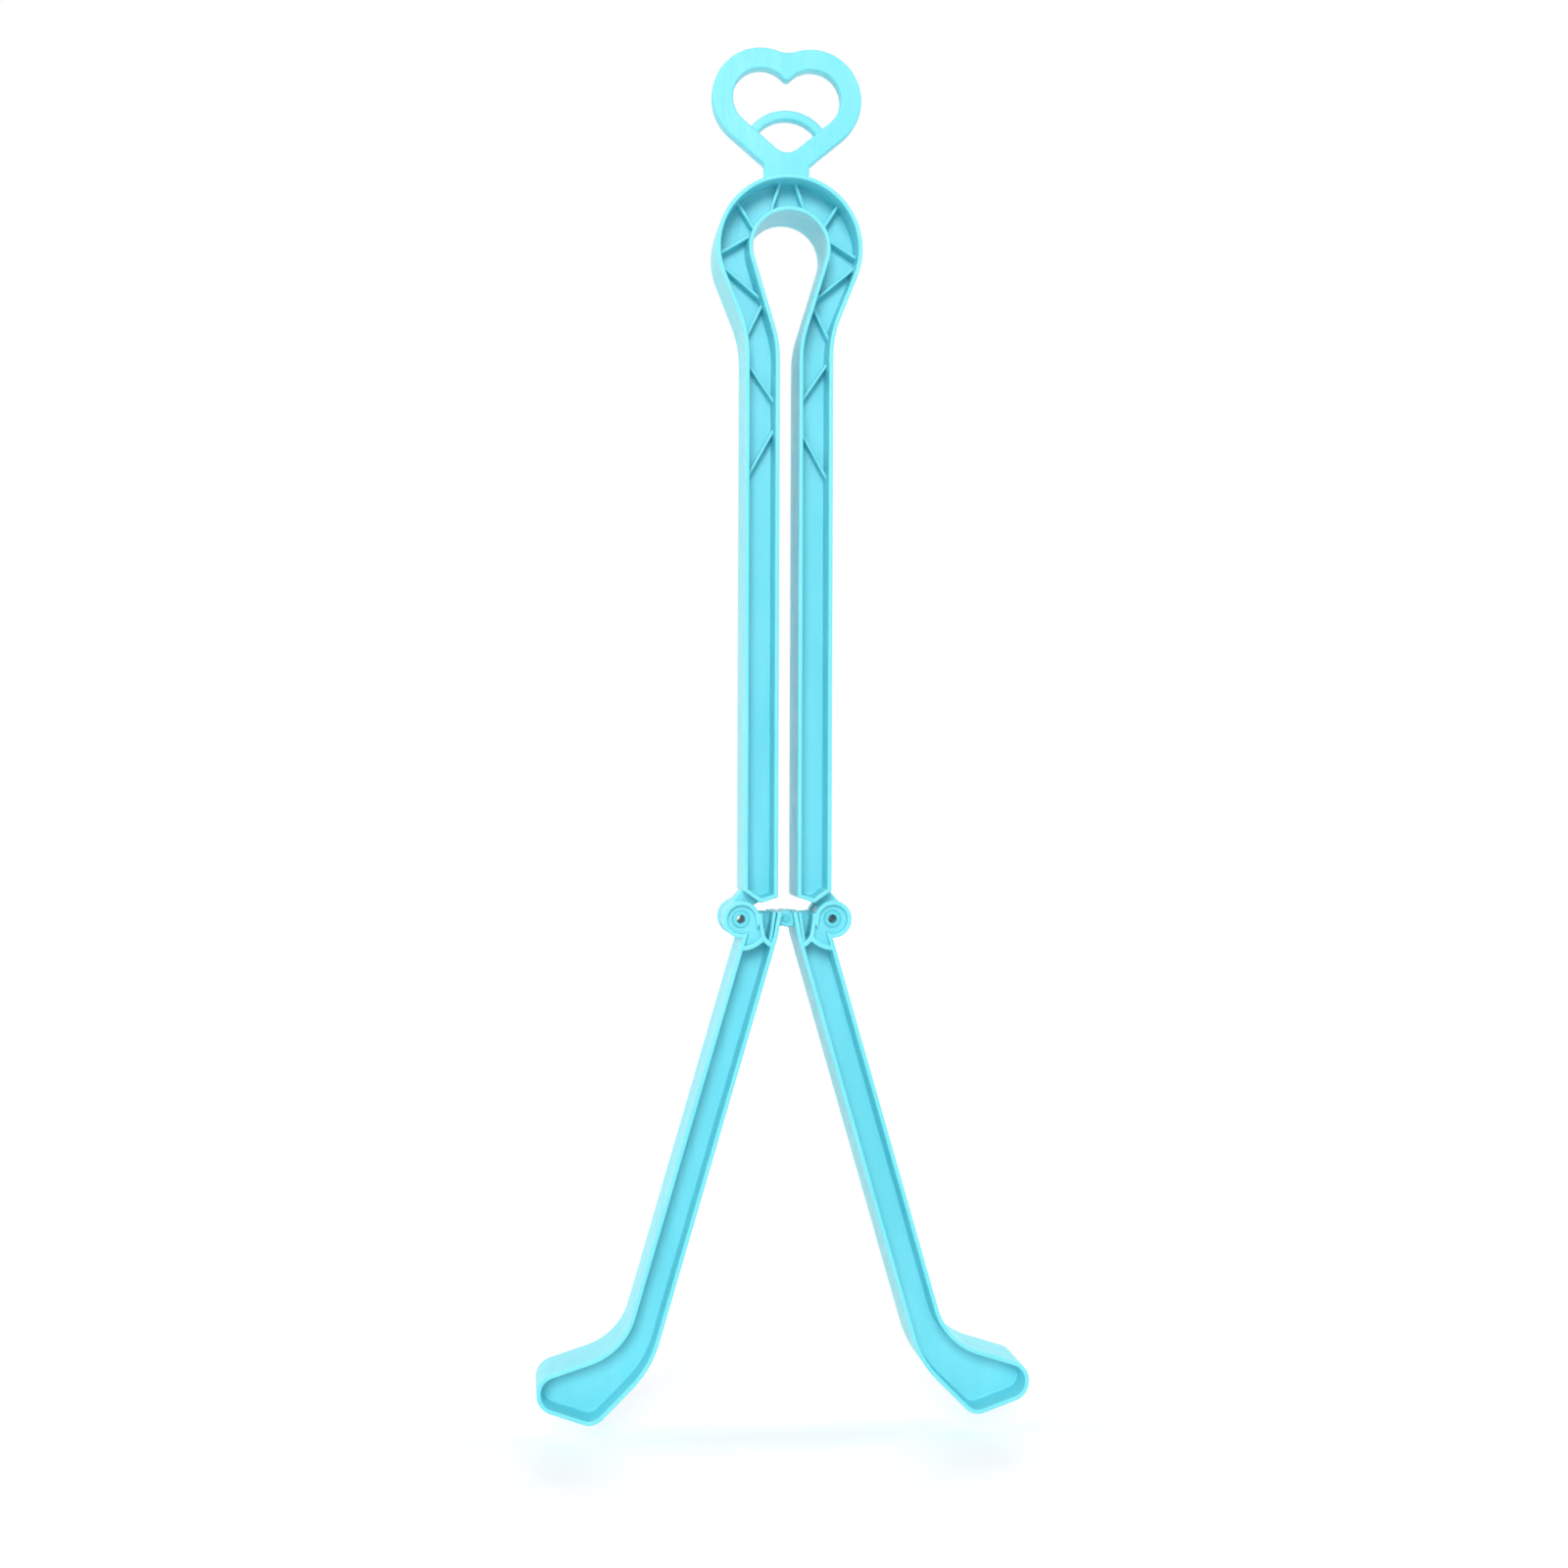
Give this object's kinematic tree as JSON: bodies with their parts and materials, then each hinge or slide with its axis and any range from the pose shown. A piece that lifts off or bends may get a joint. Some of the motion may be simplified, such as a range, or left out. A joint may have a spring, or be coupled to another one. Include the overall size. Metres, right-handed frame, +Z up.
{
  "type": "boot shaper",
  "caption": "Folding boot shaper: a squeeze handle with a hanging ring over hinged, spreading legs that hold a boot shaft upright.",
  "frame": {"origin": "middle of the footprint, on the surface that the feet stand on", "axes": "+Z up towards the hanging ring, +X towards the right leg seen from the front, +Y to the back"},
  "size_m": [0.1418, 0.02, 0.394],
  "materials": {
    "moulded_cyan": "satin, slightly translucent injection moulding",
    "pins": "satin"
  },
  "bodies": {
    "handle": {"squeeze_handle": "moulded_cyan"},
    "left_leg": {"left_leg": "moulded_cyan", "left_pivot_pin": "pins"},
    "right_leg": {"right_leg": "moulded_cyan", "right_pivot_pin": "pins", "middle_pin": "pins"}
  },
  "joints": [
    {"name": "left_leg_fold", "type": "hinge", "parent": "handle", "child": "left_leg", "pos_m": [-0.0132, 0, 0.14285], "axis": [0, -1, 0], "range_deg": [0, 16.9], "stiffness_Nm_per_rad": 0.3, "springref_deg": -5.73},
    {"name": "right_leg_fold", "type": "hinge", "parent": "handle", "child": "right_leg", "pos_m": [0.0132, 0, 0.14285], "axis": [0, 1, 0], "range_deg": [0, 16.9], "stiffness_Nm_per_rad": 0.3, "springref_deg": -5.73}
  ],
  "couplings": [
    {"joint": "right_leg_fold", "follows": "left_leg_fold", "ratio": 1}
  ]
}
